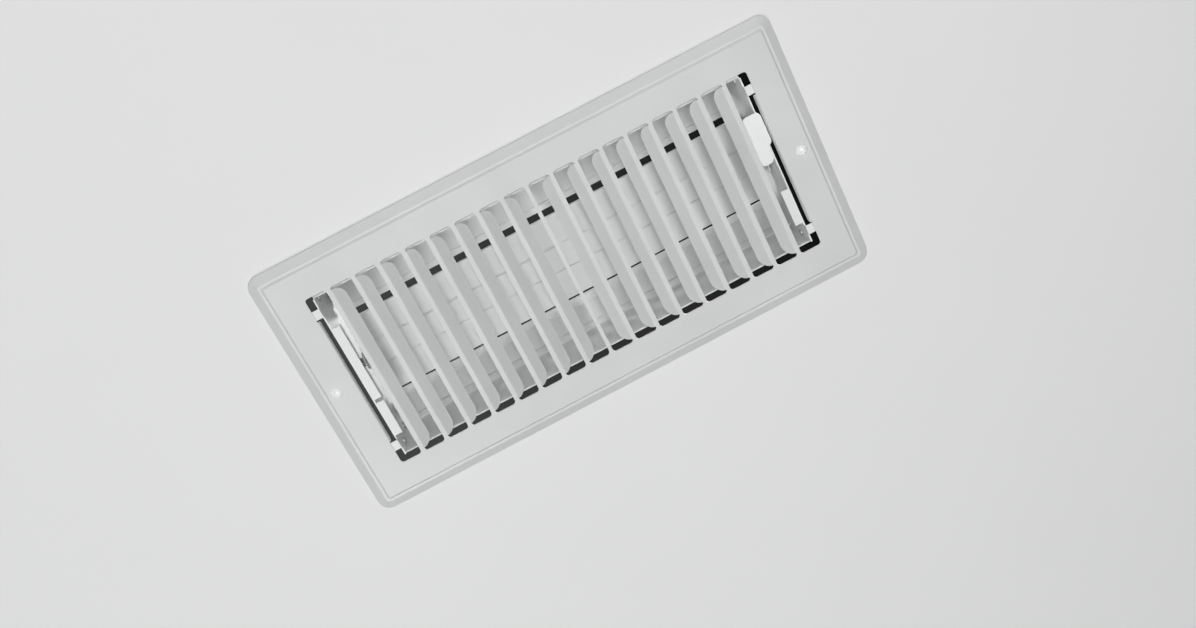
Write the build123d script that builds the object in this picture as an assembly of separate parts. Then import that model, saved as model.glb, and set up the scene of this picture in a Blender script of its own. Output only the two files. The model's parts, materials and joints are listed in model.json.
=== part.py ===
from build123d import *
import os
from math import atan2, cos, degrees, radians, sin

# A stamped steel ceiling register with an opposed blade damper behind its louvres.
# X runs along the face, Y across it and Z up into the duct.
# The origin is the middle of the ceiling plane, where the rim's back edge lies.

# Driving dimensions, in millimetres and degrees
face_length = 298.5
face_width = 146.0
face_proud = 5.0
face_sheet = 0.8
corner_radius = 7.0

# Rim section, from the ceiling edge in to the flat face
edge_height = 1.2
edge_lean = 0.4
bevel_width = 4.8
ledge_width = 1.2
step_width = 1.2
step_height = 1.0
least_corner = 1.5
flat_limit = 0.001

# Louvres lanced out of the face
slot_count = 18
end_margin = 21.72
side_margin = 22.0
bar_width = 2.12
slot_corner = 1.8
fin_width = 6.8
fin_angle = 43.0
fin_corner = 6.2
lip_width = 3.0
lip_angle = 85.0
lip_end_room = 13.5
lip_corner = 2.0
bend_step = 0.45

# Damper frame
frame_end_inset = 3.3
frame_side_inset = 1.8
frame_sheet = 0.8
fin_clearance = 0.7
back_room = 0.85
foot_height = 2.0
foot_inset = 10.0
foot_width = 5.0
foot_length = 7.5
stiffener_reach = 5.0
stiffener_start = 30.5
stiffener_split = 14.8
stiffener_gap = 2.0
rail_flange = 5.0
rail_tab = 7.0

# Blades
blade_sheet = 0.8
blade_hem = 2.5
bead_height = 1.0
bead_slope = 1.2
middle_share = 0.475
middle_bead_half = 6.2
front_room = 7.0
side_step = 5.0
side_bead_margin = 4.05
blade_gap = 4.15
wall_gap = 2.35
ear_radius = 5.0
left_end_room = 1.8
mechanism_room = 3.8

# Pins and rivets
pin_radius = 1.5
pin_head_radius = 2.6
pin_head_height = 0.8
boss_radius = 3.0
boss_height = 1.0
running_clearance = 0.06
side_clearance = 0.2
head_clearance = 0.6
boss_clearance = 0.3
rivet_radius = 1.2
rivet_head_radius = 2.0
rivet_head_height = 0.7
rivet_end_distance = 5.0
rivet_drop = 5.6

# Operator plate
blade_swing = 80.0
crank_share = 0.95
crank_end_radius = 4.0
crank_slot_clearance = 0.35
plate_sheet = 1.0
plate_gap = 1.3
plate_margin = 2.2
leg_left = 16.0
leg_right = 12.5

# Finger tab
tab_centre = 9.2
tab_length = 28.0
tab_wide_length = 19.0
tab_inner_reach = 6.0
tab_outer_reach = 3.5
tab_sheet = 1.0
tab_clearance = 0.4
tab_rise = 8.0
tab_corner = 3.0
clip_wall = 1.0
clip_height = 3.0
clip_inset = 4.0
clip_clearance = 0.05

# Mounting screws
screw_inset = 12.45
screw_radius = 2.0
screw_neck_radius = 2.2
screw_length = 24.0
screw_tip = 4.0
screw_tip_radius = 0.4
screw_hole_radius = 2.4
screw_head_radius = 3.2
screw_head_height = 1.8
recess_width = 0.8
recess_length = 3.2
recess_depth = 1.0

# Face and louvre values worked out from the driving dimensions
through = 2 * face_length
face_back = face_sheet - face_proud
sheet_middle = face_sheet / 2 - face_proud
ledge_drop = face_proud - step_height
field_length = face_length - 2 * end_margin
slot_pitch = field_length / slot_count
slot_width = slot_pitch - bar_width
slot_length = face_width - 2 * side_margin
slot_centres = [(index - (slot_count - 1) / 2) * slot_pitch for index in range(slot_count)]
lip_length = slot_length - 2 * lip_end_room
fin_lean = radians(fin_angle)
fin_rise = bend_step * sin(fin_lean / 2) + fin_width * sin(fin_lean) + face_sheet / 2 * cos(fin_lean)
screw_spacing = face_length - 2 * screw_inset

# Damper frame and blade values
frame_front = sheet_middle + fin_rise + fin_clearance
end_plate_front = face_back + foot_height
end_outside = (field_length - bar_width) / 2 - frame_end_inset
end_inside = end_outside - frame_sheet
wall_outside = slot_length / 2 - frame_side_inset
wall_inside = wall_outside - frame_sheet
foot_row = slot_length / 2 - foot_inset
stiffener_end = foot_row - foot_width / 2 - stiffener_gap
blade_left = left_end_room - end_inside
blade_right = end_inside - mechanism_room
blade_offset = pin_head_radius + head_clearance + blade_sheet / 2 + bead_height
middle_half_width = middle_share * wall_inside
middle_level = middle_half_width + front_room
middle_axis = middle_level - blade_offset
side_half_width = (wall_inside - wall_gap - blade_gap - middle_half_width) / 2
side_bead_half = side_half_width - side_bead_margin
side_y = middle_half_width + blade_gap + side_half_width
side_axis = middle_level + side_step + blade_offset

# Operator values
half_swing = radians(blade_swing / 2)
crank_radius = crank_share * side_half_width
half_travel = crank_radius * sin(half_swing)
crank_slot_half = pin_radius + crank_slot_clearance
boss_hole = pin_head_radius + boss_clearance
plate_outside = end_inside - plate_gap
plate_inside = plate_outside - plate_sheet
bar_low = side_axis + boss_hole
bar_high = side_axis + crank_radius + crank_slot_half + plate_margin
guide_y = side_y / 2
guide_z = side_axis + crank_radius - plate_margin / 2
frame_back = bar_high + back_room
tab_top = end_plate_front - tab_clearance
tab_start = -tab_centre - tab_length / 2
tab_end = tab_start + tab_length
rivet_y = wall_outside - rail_tab / 2
rivet_heights = (frame_front + rail_flange + rivet_end_distance, side_axis - rivet_drop)


def offset_path(points, distance):
    """Moves a bent line sideways by a distance, with mitred corners."""
    path = [Vector(*point) for point in points]
    directions = [(after - before).normalized() for before, after in zip(path, path[1:])]
    normals = [Vector(-direction.Y, direction.X) for direction in directions]
    moved = []
    for index, point in enumerate(path):
        before = normals[max(index - 1, 0)]
        after = normals[min(index, len(normals) - 1)]
        mitre = (before + after).normalized()
        moved.append(point + mitre * (distance / mitre.dot(after)))
    return moved


def ribbon(points, thickness):
    """The section of a bent sheet that follows a line down its middle."""
    left = offset_path(points, thickness / 2)
    right = offset_path(points, -thickness / 2)
    return make_face(Polyline(*left, *reversed(right), close=True))


def along_x(section, start, end):
    """Extrudes a section drawn in Y and Z from one X to another."""
    return extrude(Plane.YZ.offset(start) * section, amount=end - start)


def turned_pin(steps):
    """A stepped pin along +X, from a list of (end, radius) steps that starts with its base."""
    pin = None
    start = steps[0]
    for end, radius in steps[1:]:
        piece = along_x(Circle(radius), start, end)
        pin = piece if pin is None else pin + piece
        start = end
    return pin


def rim_outline(inset, height):
    """The face's rounded outline at an inset from its edge, laid at a height."""
    radius = max(corner_radius - inset, least_corner)
    return Pos(0, 0, height) * RectangleRounded(face_length - 2 * inset, face_width - 2 * inset, radius)


def dish(stations):
    """A solid through the rim's (inset, height) stations, where a flat ledge needs no band."""
    bands = []
    for upper, lower in zip(stations, stations[1:]):
        if upper[1] - lower[1] > flat_limit:
            bands.append(loft([rim_outline(*upper), rim_outline(*lower)], ruled=True))
    return bands[0] + bands[1:]


def louvre(width, angle, length, corner):
    """A blade of sheet bent up about a slot's left edge at x = 0, with rounded free corners."""
    lean = radians(angle)
    half_lean = lean / 2
    bend = (bend_step * cos(half_lean), sheet_middle + bend_step * sin(half_lean))
    tip = (bend[0] + width * cos(lean), bend[1] + width * sin(lean))
    centre_line = [(-2 * bend_step, sheet_middle), (0, sheet_middle), bend, tip]
    strip = extrude(Plane.XZ * ribbon(centre_line, face_sheet), amount=length / 2, both=True)
    along = Vector(cos(lean), 0, sin(lean))
    upright = Vector(-sin(lean), 0, cos(lean))
    own_plane = Plane((0, 0, sheet_middle), x_dir=along, z_dir=upright)
    reach = 2 * width
    outline = Pos(width + bend_step - reach / 2, 0) * Rectangle(reach, length)
    outline = fillet(outline.vertices().group_by(Axis.X)[-1], corner)
    return strip & extrude(own_plane * outline, amount=width, both=True)


def faceplate():
    ledge_end = edge_lean + bevel_width + ledge_width
    front = [
        (0, 0),
        (edge_lean, -edge_height),
        (edge_lean + bevel_width, -ledge_drop),
        (ledge_end, -ledge_drop),
        (ledge_end + step_width, -face_proud),
        (face_width / 2, -face_proud),
    ]
    back = [(point.X, point.Y) for point in offset_path(front, face_sheet)]
    plate = dish(front[:-1]) - dish(back[:-1])

    slot = extrude(RectangleRounded(slot_width, slot_length, slot_corner), amount=through, both=True)
    holes = [Pos(x, 0, 0) * slot for x in slot_centres]
    screw_hole = Cylinder(screw_hole_radius, through)
    holes += [Pos(side * screw_spacing / 2, 0, 0) * screw_hole for side in (-1, 1)]
    plate -= holes

    fin = louvre(fin_width, fin_angle, slot_length - 2 * slot_corner, fin_corner)
    end_lip = louvre(lip_width, lip_angle, lip_length, lip_corner)
    louvres = []
    for index in range(slot_count // 2):
        shape = end_lip if index == 0 else fin
        left = Pos(slot_centres[index] - slot_width / 2, 0, 0) * shape
        louvres += [left, mirror(left, about=Plane.YZ)]
    return plate + louvres


def side_rail(side):
    """A long wall of the damper frame, its back edge turned in and its ends turned over the end plates."""
    wall_middle = wall_outside - frame_sheet / 2
    back_middle = frame_back - frame_sheet / 2
    section = ribbon(
        [(wall_middle, frame_front), (wall_middle, back_middle), (wall_inside - rail_flange, back_middle)],
        frame_sheet,
    )
    rail = along_x(section, -end_outside, end_outside)
    tab_height = frame_back - frame_front - 2 * rail_flange
    tab_middle = frame_front + rail_flange + tab_height / 2
    tab_outline = Pos(rivet_y, tab_middle) * Rectangle(rail_tab, tab_height)
    tab = along_x(tab_outline, end_outside, end_outside + frame_sheet)
    rail += [tab, mirror(tab, about=Plane.YZ)]
    corner = (Align.MAX, Align.MAX, Align.CENTER)
    notch = Box(rail_flange + frame_sheet, rail_flange, rail_flange, align=corner)
    notch = Pos(end_outside, wall_inside, back_middle) * notch
    rail -= [notch, mirror(notch, about=Plane.YZ), *rivet_holes()]
    return rail if side > 0 else mirror(rail, about=Plane.XZ)


def rivet_places():
    """The (y, z) of the rivets that hold the rails' turned ends to each end plate."""
    return [(row * rivet_y, z) for row in (-1, 1) for z in rivet_heights]


def rivet_holes():
    hole = along_x(Circle(rivet_radius + running_clearance), -through, through)
    return [Pos(0, y, z) * hole for y, z in rivet_places()]


def frame_rivets():
    rivet = turned_pin(
        [
            end_inside - rivet_head_height,
            (end_inside, rivet_head_radius),
            (end_outside + frame_sheet, rivet_radius),
            (end_outside + frame_sheet + rivet_head_height, rivet_head_radius),
        ]
    )
    rivets = []
    for y, z in rivet_places():
        placed = Pos(0, y, z) * rivet
        rivets += [placed, mirror(placed, about=Plane.YZ)]
    return Compound(children=rivets)


def pivot_places():
    """The (y, z) of the upper, middle and lower blade axes."""
    return {"upper": (-side_y, side_axis), "middle": (0, middle_axis), "lower": (side_y, side_axis)}


def end_plate(side):
    """An end wall of the damper frame, with feet on the back of the face and its front edge turned in."""
    height = frame_back - end_plate_front
    outline = Pos(0, end_plate_front + height / 2) * Rectangle(2 * wall_inside, height)
    plate = along_x(outline, end_inside, end_outside)
    shank_height = end_plate_front - face_back
    shank = Box(frame_sheet, foot_width, shank_height, align=(Align.MAX, Align.CENTER, Align.MIN))
    foot = Box(foot_length, foot_width, frame_sheet, align=(Align.MIN, Align.CENTER, Align.MIN))
    bracket = Pos(end_outside, 0, face_back) * (shank + Pos(-frame_sheet, 0, 0) * foot)
    plate += [Pos(0, row * foot_row, 0) * bracket for row in (-1, 1)]
    turned_in = [(stiffener_split + stiffener_gap / 2, stiffener_end)]
    if side < 0:
        turned_in.append((-stiffener_start, stiffener_split - stiffener_gap / 2))
    for start, end in turned_in:
        tab = Box(stiffener_reach, end - start, frame_sheet, align=(Align.MAX, Align.MIN, Align.MIN))
        plate += Pos(end_outside, start, end_plate_front) * tab

    pin_hole = along_x(Circle(pin_radius + running_clearance), -through, through)
    holes = [Pos(0, y, z) * pin_hole for y, z in pivot_places().values()]
    if side > 0:
        holes += [Pos(0, row * guide_y, guide_z) * pin_hole for row in (-1, 1)]
    plate -= holes + rivet_holes()
    return plate if side > 0 else mirror(plate, about=Plane.YZ)


def pivot_pin(side, y, z):
    """A shouldered pin riveted in an end plate, which the blade's ear turns on."""
    ear_outside = blade_right if side > 0 else -blade_left
    steps = [
        ear_outside - blade_sheet - side_clearance - pin_head_height,
        (ear_outside - blade_sheet - side_clearance, pin_head_radius),
        (ear_outside + side_clearance, pin_radius),
        (end_inside, pin_head_radius),
        (end_outside, pin_radius),
        (end_outside + boss_height, boss_radius),
    ]
    pin = Pos(0, y, z) * turned_pin(steps)
    return pin if side > 0 else mirror(pin, about=Plane.YZ)


def guide_stud(row):
    """A headed stud on the right end plate, which the operator plate slides on."""
    steps = [
        plate_inside - side_clearance - pin_head_height,
        (plate_inside - side_clearance, boss_radius),
        (plate_outside + side_clearance, pin_radius),
        (end_inside, pin_head_radius),
        (end_outside, pin_radius),
        (end_outside + boss_height, boss_radius),
    ]
    return Pos(0, row * guide_y, guide_z) * turned_pin(steps)


def crank_point(ear_side):
    """The crank pin's (y, z) from its blade's axis with the damper closed."""
    return (-crank_radius * sin(half_swing), ear_side * crank_radius * cos(half_swing))


def blade(half_width, bead_half, ear_side):
    """A blade about its own axis: ear_side is 1 where its ears rise behind it and -1 in front."""
    level = -ear_side * blade_offset
    bead_level = level - bead_height
    slope_end = bead_half + bead_slope
    half = [(half_width, level + blade_hem), (half_width, level), (slope_end, level), (bead_half, bead_level)]
    section = ribbon([(-y, z) for y, z in half] + list(reversed(half)), blade_sheet)
    sheet = along_x(section, blade_left, blade_right)

    ear = Circle(ear_radius) + Pos(0, bead_level / 2) * Rectangle(2 * ear_radius, abs(bead_level))
    y, z = crank_point(ear_side)
    turn = degrees(atan2(z, y))
    crank = Pos(y / 2, z / 2) * SlotCenterToCenter(crank_radius, 2 * crank_end_radius, rotation=turn)
    left_ear = along_x(ear, blade_left, blade_left + blade_sheet)
    right_ear = along_x(ear + crank, blade_right - blade_sheet, blade_right)
    hole = along_x(Circle(pin_radius + running_clearance), -through, through)
    return sheet + [left_ear, right_ear] - [hole, Pos(0, y, z) * hole]


def crank_pin(ear_side):
    """A pin riveted in a blade's crank, which runs in the operator plate's slot."""
    y, z = crank_point(ear_side)
    steps = [
        blade_right - blade_sheet - pin_head_height,
        (blade_right - blade_sheet, pin_head_radius),
        (blade_right, pin_radius),
        (blade_right + boss_height, pin_head_radius),
        (plate_outside + pin_head_height, pin_radius),
    ]
    return Pos(0, y, z) * turned_pin(steps)


def operator_plate():
    """A sliding plate with a slot for each crank pin and a foot that carries the finger tab."""
    low_pin = crank_radius * cos(half_swing)
    bar_half = side_y + crank_slot_half + plate_margin
    bar = Pos(0, (bar_low + bar_high) / 2) * RectangleRounded(2 * bar_half, bar_high - bar_low, plate_margin)
    foot_start = tab_start + clip_inset
    foot_end = tab_end - clip_inset
    shoulder = middle_axis - crank_radius - crank_slot_half - plate_margin
    leg = make_face(
        Polyline(
            (-leg_left, bar_low + plate_margin),
            (-leg_left, shoulder),
            (foot_start, tab_rise),
            (foot_start, tab_top),
            (foot_end, tab_top),
            (foot_end, tab_rise),
            (leg_right, shoulder),
            (leg_right, bar_low + plate_margin),
            close=True,
        )
    )
    slot_length_z = crank_radius - low_pin + 2 * crank_slot_half
    slot_middle = (crank_radius + low_pin) / 2
    crank_slot = SlotOverall(slot_length_z, 2 * crank_slot_half, rotation=90)
    guide_slot = SlotOverall(2 * (half_travel + crank_slot_half), 2 * (pin_radius + running_clearance))
    boss_slot = SlotOverall(2 * (half_travel + boss_hole), 2 * boss_hole)
    outline = bar + leg
    outline -= [Pos(row * side_y, side_axis + slot_middle) * crank_slot for row in (-1, 1)]
    outline -= Pos(0, middle_axis - slot_middle) * crank_slot
    outline -= [Pos(row * guide_y, guide_z) * guide_slot for row in (-1, 1)]
    outline -= Pos(0, middle_axis) * boss_slot
    return Pos(0, -half_travel, 0) * along_x(outline, plate_inside, plate_outside)


def finger_tab():
    """A tab behind the last slot, clipped on the operator plate's foot and wider where a finger pushes."""
    inner = plate_inside - tab_inner_reach
    clip_outside = plate_outside + clip_wall
    wide_width = plate_outside + tab_outer_reach - inner
    long_width = clip_outside - inner
    wide = RectangleRounded(wide_width, tab_wide_length, tab_corner)
    long = RectangleRounded(long_width, tab_length, tab_corner)
    outline = Pos(inner + wide_width / 2, tab_start + tab_wide_length / 2) * wide
    outline += Pos(inner + long_width / 2, -tab_centre) * long
    tab = extrude(Pos(0, 0, tab_top) * outline, amount=-tab_sheet)

    clip_width = plate_sheet + 2 * clip_wall
    clip_length = tab_length - 2 * clip_inset
    low = (Align.CENTER, Align.CENTER, Align.MIN)
    clip = Box(clip_width, clip_length, clip_height, align=low)
    clip -= Box(plate_sheet + 2 * clip_clearance, clip_length, clip_height, align=low)
    tab += Pos((plate_inside + plate_outside) / 2, -tab_centre, tab_top) * clip
    return Pos(0, -half_travel, 0) * tab


def mounting_screws():
    """Domed screws whose plain necks end at the ceiling."""
    head_low = -face_proud - screw_head_height
    shank_top = screw_length - face_proud
    dome_radius = (screw_head_radius**2 + screw_head_height**2) / (2 * screw_head_height)
    section = make_face(
        Polyline(
            (screw_head_radius, -face_proud),
            (screw_neck_radius, -face_proud),
            (screw_neck_radius, 0),
            (screw_radius, 0),
            (screw_radius, shank_top - screw_tip),
            (screw_tip_radius, shank_top),
            (0, shank_top),
            (0, head_low),
        )
        + RadiusArc((0, head_low), (screw_head_radius, -face_proud), -dome_radius)
    )
    screw = revolve(Plane.XZ * section, Axis.Z)
    arm = Box(recess_length, recess_width, 2 * recess_depth)
    screw -= Pos(0, 0, head_low) * (arm + Rot(0, 0, 90) * arm)
    return Compound(children=[Pos(side * screw_spacing / 2, 0, 0) * screw for side in (-1, 1)])


def build_nodes():
    nodes = {
        "faceplate": faceplate(),
        "upper_side_rail": side_rail(-1),
        "lower_side_rail": side_rail(1),
        "left_end_plate": end_plate(-1),
        "right_end_plate": end_plate(1),
        "frame_rivets": frame_rivets(),
        "operator_plate": operator_plate(),
        "finger_tab": finger_tab(),
        "upper_guide_stud": guide_stud(-1),
        "lower_guide_stud": guide_stud(1),
        "mounting_screws": mounting_screws(),
    }
    for name, (y, z) in pivot_places().items():
        middle = name == "middle"
        ear_side = -1 if middle else 1
        half_width = middle_half_width if middle else side_half_width
        bead_half = middle_bead_half if middle else side_bead_half
        nodes[f"{name}_blade"] = Pos(0, y, z) * blade(half_width, bead_half, ear_side)
        nodes[f"{name}_crank_pin"] = Pos(0, y, z) * crank_pin(ear_side)
        nodes[f"{name}_left_pivot"] = pivot_pin(-1, y, z)
        nodes[f"{name}_right_pivot"] = pivot_pin(1, y, z)
    return nodes


os.makedirs("parts", exist_ok=True)
for node, shape in build_nodes().items():
    export_step(shape, f"parts/{node}.step")
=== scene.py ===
import json
from math import atan

import bpy
from mathutils import Matrix, Vector

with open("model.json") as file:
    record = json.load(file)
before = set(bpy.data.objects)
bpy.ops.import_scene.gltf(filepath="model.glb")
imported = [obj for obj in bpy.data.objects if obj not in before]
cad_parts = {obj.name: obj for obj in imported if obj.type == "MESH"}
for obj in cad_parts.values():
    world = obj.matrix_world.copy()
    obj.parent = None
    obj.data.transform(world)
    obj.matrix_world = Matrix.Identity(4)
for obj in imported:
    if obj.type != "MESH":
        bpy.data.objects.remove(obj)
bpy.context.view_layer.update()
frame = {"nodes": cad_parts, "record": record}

# Paint: colour, colour of dust, amount of dust and roughness for each material slot
GREY_DUST = (0.50, 0.49, 0.46)
PAINTS = {
    "face_paint": ((0.69, 0.70, 0.694), GREY_DUST, 0.10, 0.36),
    "damper_paint": ((0.80, 0.812, 0.806), GREY_DUST, 0.14, 0.42),
    "operator_paint": ((0.88, 0.885, 0.882), (0.40, 0.39, 0.36), 0.16, 0.38),
    # Screws: their own white paint, set lighter than the face's white as a painted highlight on the domed
    # heads
    "screw_paint": ((0.96, 0.965, 0.965), (0.70, 0.69, 0.67), 0.04, 0.14),
}
MOTTLE_SCALE = 22.0
MOTTLE_SHADE = 0.955
ROUGHNESS_SPREAD = (-0.05, 0.07)
SPECK_SCALE = 260.0
SPECK_DETAIL = 5.0
SPECK_ROUGHNESS = 0.7
SPECK_RANGE = (0.56, 0.74)
PEEL_SCALE = 900.0
PEEL_STRENGTH = 0.06
PEEL_DEPTH = 0.0002
PAINT_SPECULAR = 0.45

# Plated steel of the pins, studs and rivets
PIN_COLOUR = (0.66, 0.67, 0.68)
PATCH_SCALE = 300.0
PATCH_DETAIL = 4.0
PATCH_RANGE = (0.35, 0.65)
DULL_SHADE = 0.72
PIN_ROUGHNESS = (0.42, 0.26)
GRAIN_SCALE = 2400.0
GRAIN_STRENGTH = 0.15
GRAIN_DEPTH = 0.0001

# Ceiling and floor, in metres: the ceiling is cut out round the duct's opening
OPENING = (0.254, 0.1016)
OPENING_MARGIN = 0.006
CEILING_HEIGHT = 0.0004
CEILING_REACH = 3.0
CEILING_COLOUR = (0.82, 0.825, 0.82)
CEILING_ROUGHNESS = 0.8
FLOOR_HEIGHT = -2.4
FLOOR_REACH = 40.0
FLOOR_COLOUR = (0.5, 0.503, 0.503)
FLOOR_ROUGHNESS = 0.7
FLOOR_GLOW_COLOUR = (0.98, 0.99, 1.0)
FLOOR_GLOW = 0.52
STAGE_SCALE = 6.0
STAGE_DETAIL = 3.0
STAGE_SHADE = 0.985
STAGE_SPECULAR = 0.2

# Square lights that face the register: place, side, power and colour
WHITE = (1.0, 1.0, 1.0)
LIGHTS = {
    "front_light": ((-0.1, -0.45, -1.65), 0.7, 13.6, WHITE),
    "window_light": ((0.75, -0.9, -1.6), 0.25, 6.3, (1.0, 0.995, 0.98)),
    "room_light": ((-0.7, 1.0, -1.6), 0.25, 10.5, (0.985, 0.995, 1.0)),
    "upper_light": ((0.9, 0.1, 1.9), 0.8, 17.0, WHITE),
    "far_upper_light": ((-0.8, 0.9, 1.8), 0.8, 10.0, WHITE),
    "side_light": ((0.2, -1.6, 0.6), 0.8, 6.0, WHITE),
}

# World: strengths, and the parts of a direction's X or Z over which they change
WORLD_COLOUR = (0.96, 0.965, 0.97)
LIGHT_HEIGHTS = (-0.2, 0.3)
LIGHT_STRENGTHS = (0.34, 0.14)
BACKDROP_STRENGTH = 0.75
OVERHEAD_HEIGHTS = (0.35, 0.5)
# Painted shade for the unlit duct overhead, lighter on the -X side as painted light
DUCT_SHADE_SPAN = (-0.2, 0.2)
DUCT_SHADE_STRENGTHS = (0.06, 0.006)

# Camera: its place, the picture's axes, and in the picture's pixels its focal length and how far it looks up
IMAGE_WIDTH = 1196
CENTRE = Vector((-0.007, -0.173, -0.620))
RIGHT = Vector((0.88606, 0.43635, -0.15653))
DOWN = Vector((-0.46343, 0.84223, -0.27548))
FORWARD = Vector((0.01163, 0.31663, 0.94848))
FOCAL = 1225.0
LOOK_UP = 9.0
SENSOR_WIDTH = 36.0
CLIP_START = 0.01
CLIP_END = 50.0

# Ranges: the whole of a factor's, and where most of a noise pattern lies
UNIT = (0.0, 1.0)
NOISE_RANGE = (0.3, 0.7)

# Mix nodes: kind of data, and numbers of the sockets for the factor, the two values and the result
NUMBER_MIX = ("FLOAT", 0, 2, 3, 0)
COLOUR_MIX = ("RGBA", 0, 6, 7, 2)


# Shader nodes

def new_material(name):
    material = bpy.data.materials.new(name)
    material.use_nodes = True
    tree = material.node_tree
    return material, tree, tree.nodes["Principled BSDF"]


def add(tree, kind, **settings):
    node = tree.nodes.new(kind)
    for key, value in settings.items():
        setattr(node, key, value)
    return node


def opaque(colour):
    return (*colour, 1.0)


def shaded(colour, share):
    return tuple(share * channel for channel in colour)


def noise(tree, coords, scale, detail=2.0, roughness=0.55):
    node = add(tree, "ShaderNodeTexNoise")
    node.inputs["Scale"].default_value = scale
    node.inputs["Detail"].default_value = detail
    node.inputs["Roughness"].default_value = roughness
    tree.links.new(coords, node.inputs["Vector"])
    return node.outputs["Fac"]


def ramp(tree, value, places, colours):
    """Blends from the first colour to the second as the value goes from one place to the other."""
    node = add(tree, "ShaderNodeValToRGB")
    for element, place, colour in zip(node.color_ramp.elements, places, colours):
        element.position = place
        element.color = opaque(colour)
    tree.links.new(value, node.inputs["Fac"])
    return node.outputs["Color"]


def to_range(tree, value, old, new):
    node = add(tree, "ShaderNodeMapRange")
    for name, number in zip(("From Min", "From Max", "To Min", "To Max"), (*old, *new)):
        node.inputs[name].default_value = number
    tree.links.new(value, node.inputs["Value"])
    return node.outputs["Result"]


def mix(tree, kind, factor, first, second):
    """Mixes two numbers or two colours, each of them a constant or another node's result."""
    data_type, *places, result = kind
    node = add(tree, "ShaderNodeMix", data_type=data_type)
    for place, value in zip(places, (factor, first, second)):
        if isinstance(value, bpy.types.NodeSocket):
            tree.links.new(value, node.inputs[place])
        else:
            node.inputs[place].default_value = value
    return node.outputs[result]


def bump(tree, shader, height, strength, depth):
    node = add(tree, "ShaderNodeBump")
    node.inputs["Strength"].default_value = strength
    node.inputs["Distance"].default_value = depth
    tree.links.new(height, node.inputs["Height"])
    tree.links.new(node.outputs["Normal"], shader.inputs["Normal"])


# Finishes of the part

def painted_steel(name, colour, dust, dust_amount, roughness):
    """Sprayed enamel on thin sheet: a faint mottle, a fine orange peel and a little dust in patches."""
    material, tree, shader = new_material(name)
    coords = add(tree, "ShaderNodeTexCoord").outputs["Object"]
    mottle = noise(tree, coords, MOTTLE_SCALE)
    specks = noise(tree, coords, SPECK_SCALE, SPECK_DETAIL, SPECK_ROUGHNESS)
    paint = ramp(tree, mottle, NOISE_RANGE, (shaded(colour, MOTTLE_SHADE), colour))
    settled = to_range(tree, specks, SPECK_RANGE, (0.0, dust_amount))
    dusty = mix(tree, COLOUR_MIX, settled, paint, opaque(dust))
    tree.links.new(dusty, shader.inputs["Base Color"])
    roughnesses = tuple(roughness + change for change in ROUGHNESS_SPREAD)
    tree.links.new(to_range(tree, mottle, NOISE_RANGE, roughnesses), shader.inputs["Roughness"])
    bump(tree, shader, noise(tree, coords, PEEL_SCALE), PEEL_STRENGTH, PEEL_DEPTH)
    shader.inputs["Specular IOR Level"].default_value = PAINT_SPECULAR
    return material


def plated_steel(name, colour):
    """Zinc-plated steel with a fine grain and dull patches."""
    material, tree, shader = new_material(name)
    coords = add(tree, "ShaderNodeTexCoord").outputs["Object"]
    patches = noise(tree, coords, PATCH_SCALE, PATCH_DETAIL)
    plating = ramp(tree, patches, PATCH_RANGE, (shaded(colour, DULL_SHADE), colour))
    tree.links.new(plating, shader.inputs["Base Color"])
    tree.links.new(to_range(tree, patches, NOISE_RANGE, PIN_ROUGHNESS), shader.inputs["Roughness"])
    bump(tree, shader, noise(tree, coords, GRAIN_SCALE), GRAIN_STRENGTH, GRAIN_DEPTH)
    shader.inputs["Metallic"].default_value = 1.0
    return material


finishes = {name: painted_steel(name, *paint) for name, paint in PAINTS.items()}
finishes["pin_steel"] = plated_steel("pin_steel", PIN_COLOUR)
for part in frame["record"]["subparts"]:
    materials = frame["nodes"][part["node"]].data.materials
    materials.clear()
    materials.append(finishes[part["material_slot"]])


# Stage: the ceiling that the register hangs under and a plain floor

def stage_material(name, colour, roughness):
    """A matt surface with a faint mottle."""
    material, tree, shader = new_material(name)
    coords = add(tree, "ShaderNodeTexCoord").outputs["Object"]
    mottle = noise(tree, coords, STAGE_SCALE, STAGE_DETAIL)
    surface = ramp(tree, mottle, NOISE_RANGE, (shaded(colour, STAGE_SHADE), colour))
    tree.links.new(surface, shader.inputs["Base Color"])
    shader.inputs["Roughness"].default_value = roughness
    shader.inputs["Specular IOR Level"].default_value = STAGE_SPECULAR
    return material, tree, shader


def looked_at(tree):
    """1 for what the camera sees, itself or in a reflection, and 0 for light."""
    path = add(tree, "ShaderNodeLightPath")
    either = add(tree, "ShaderNodeMath", operation="MAXIMUM")
    tree.links.new(path.outputs["Is Camera Ray"], either.inputs[0])
    tree.links.new(path.outputs["Is Glossy Ray"], either.inputs[1])
    return either.outputs[0]


def ceiling_material():
    """Shows the ceiling to a camera below it, and lets light and a camera above it through."""
    material, tree, shader = stage_material("ceiling", CEILING_COLOUR, CEILING_ROUGHNESS)
    clear = add(tree, "ShaderNodeBsdfTransparent")
    choose = add(tree, "ShaderNodeMixShader")
    geometry = add(tree, "ShaderNodeNewGeometry")
    shown = add(tree, "ShaderNodeMath", operation="SUBTRACT", use_clamp=True)
    tree.links.new(looked_at(tree), shown.inputs[0])
    tree.links.new(geometry.outputs["Backfacing"], shown.inputs[1])
    tree.links.new(shown.outputs[0], choose.inputs[0])
    tree.links.new(clear.outputs[0], choose.inputs[1])
    tree.links.new(shader.outputs[0], choose.inputs[2])
    tree.links.new(choose.outputs[0], tree.nodes["Material Output"].inputs["Surface"])
    return material


def floor_material():
    """Looks pale to the camera without adding light."""
    material, tree, shader = stage_material("floor", FLOOR_COLOUR, FLOOR_ROUGHNESS)
    shader.inputs["Emission Color"].default_value = opaque(FLOOR_GLOW_COLOUR)
    glow = to_range(tree, looked_at(tree), UNIT, (0.0, FLOOR_GLOW))
    tree.links.new(glow, shader.inputs["Emission Strength"])
    return material


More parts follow.
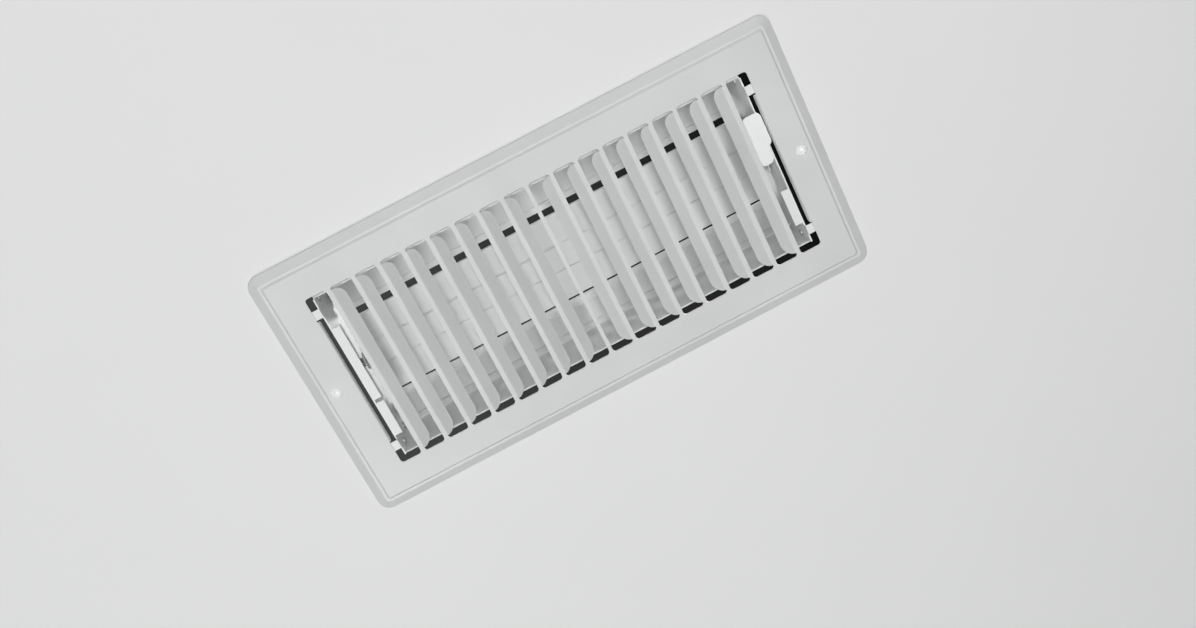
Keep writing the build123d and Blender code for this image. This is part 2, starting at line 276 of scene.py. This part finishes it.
def rectangle(half_x, half_y, height):
    """The corners of a level rectangle about the origin, anticlockwise from above."""
    signs = ((-1, -1), (1, -1), (1, 1), (-1, 1))
    return [(x * half_x, y * half_y, height) for x, y in signs]


def stage_piece(name, corners, faces, material):
    mesh = bpy.data.meshes.new(name)
    mesh.from_pydata(corners, [], faces)
    mesh.materials.append(material)
    piece = bpy.data.objects.new(name, mesh)
    bpy.context.scene.collection.objects.link(piece)


outer = rectangle(CEILING_REACH, CEILING_REACH, CEILING_HEIGHT)
inner = rectangle(*(side / 2 + OPENING_MARGIN for side in OPENING), CEILING_HEIGHT)
count = len(outer)
following = [(corner + 1) % count for corner in range(count)]
# Four faces round the opening, which look down
border = [(count + corner, count + after, after, corner) for corner, after in enumerate(following)]
stage_piece("ceiling", outer + inner, border, ceiling_material())
floor_corners = rectangle(FLOOR_REACH, FLOOR_REACH, FLOOR_HEIGHT)
stage_piece("floor", floor_corners, [tuple(range(len(floor_corners)))], floor_material())


# Light

def area_light(name, place, side, power, colour):
    light = bpy.data.lights.new(name, "AREA")
    light.shape = "SQUARE"
    light.size = side
    light.energy = power
    light.color = colour
    holder = bpy.data.objects.new(name, light)
    bpy.context.scene.collection.objects.link(holder)
    holder.location = place
    holder.rotation_euler = Vector(place).to_track_quat("Z", "Y").to_euler()


def room_world():
    """Soft light, mostly from below, a pale backdrop, and straight overhead a painted shade for the unlit
    duct.
    """
    world = bpy.data.worlds.new("room")
    world.use_nodes = True
    tree = world.node_tree
    background = tree.nodes["Background"]
    background.inputs["Color"].default_value = opaque(WORLD_COLOUR)
    direction = add(tree, "ShaderNodeSeparateXYZ")
    tree.links.new(add(tree, "ShaderNodeTexCoord").outputs["Generated"], direction.inputs[0])
    height = direction.outputs["Z"]
    path = add(tree, "ShaderNodeLightPath")
    lighting = to_range(tree, height, LIGHT_HEIGHTS, LIGHT_STRENGTHS)
    reflected = mix(tree, NUMBER_MIX, path.outputs["Is Glossy Ray"], lighting, BACKDROP_STRENGTH)
    # Painted shade for the unlit duct, with painted light on the -X side where some light reaches it
    duct = to_range(tree, direction.outputs["X"], DUCT_SHADE_SPAN, DUCT_SHADE_STRENGTHS)
    overhead = to_range(tree, height, OVERHEAD_HEIGHTS, UNIT)
    viewed = mix(tree, NUMBER_MIX, overhead, BACKDROP_STRENGTH, duct)
    strength = mix(tree, NUMBER_MIX, path.outputs["Is Camera Ray"], reflected, viewed)
    tree.links.new(strength, background.inputs["Strength"])
    return world


for name, settings in LIGHTS.items():
    area_light(name, *settings)
bpy.context.scene.world = room_world()


# Camera

camera_data = bpy.data.cameras.new("camera")
camera_data.sensor_fit = "HORIZONTAL"
camera_data.sensor_width = SENSOR_WIDTH
camera_data.lens = FOCAL / IMAGE_WIDTH * SENSOR_WIDTH
camera_data.clip_start = CLIP_START
camera_data.clip_end = CLIP_END
camera = bpy.data.objects.new("camera", camera_data)
bpy.context.scene.collection.objects.link(camera)
tilt = Matrix.Rotation(atan(LOOK_UP / FOCAL), 3, RIGHT)
turn = (tilt @ Matrix((RIGHT, -DOWN, -FORWARD)).transposed()).to_4x4()
camera.matrix_world = Matrix.Translation(CENTRE) @ turn
bpy.context.scene.camera = camera

bpy.context.scene.view_settings.view_transform = "Standard"
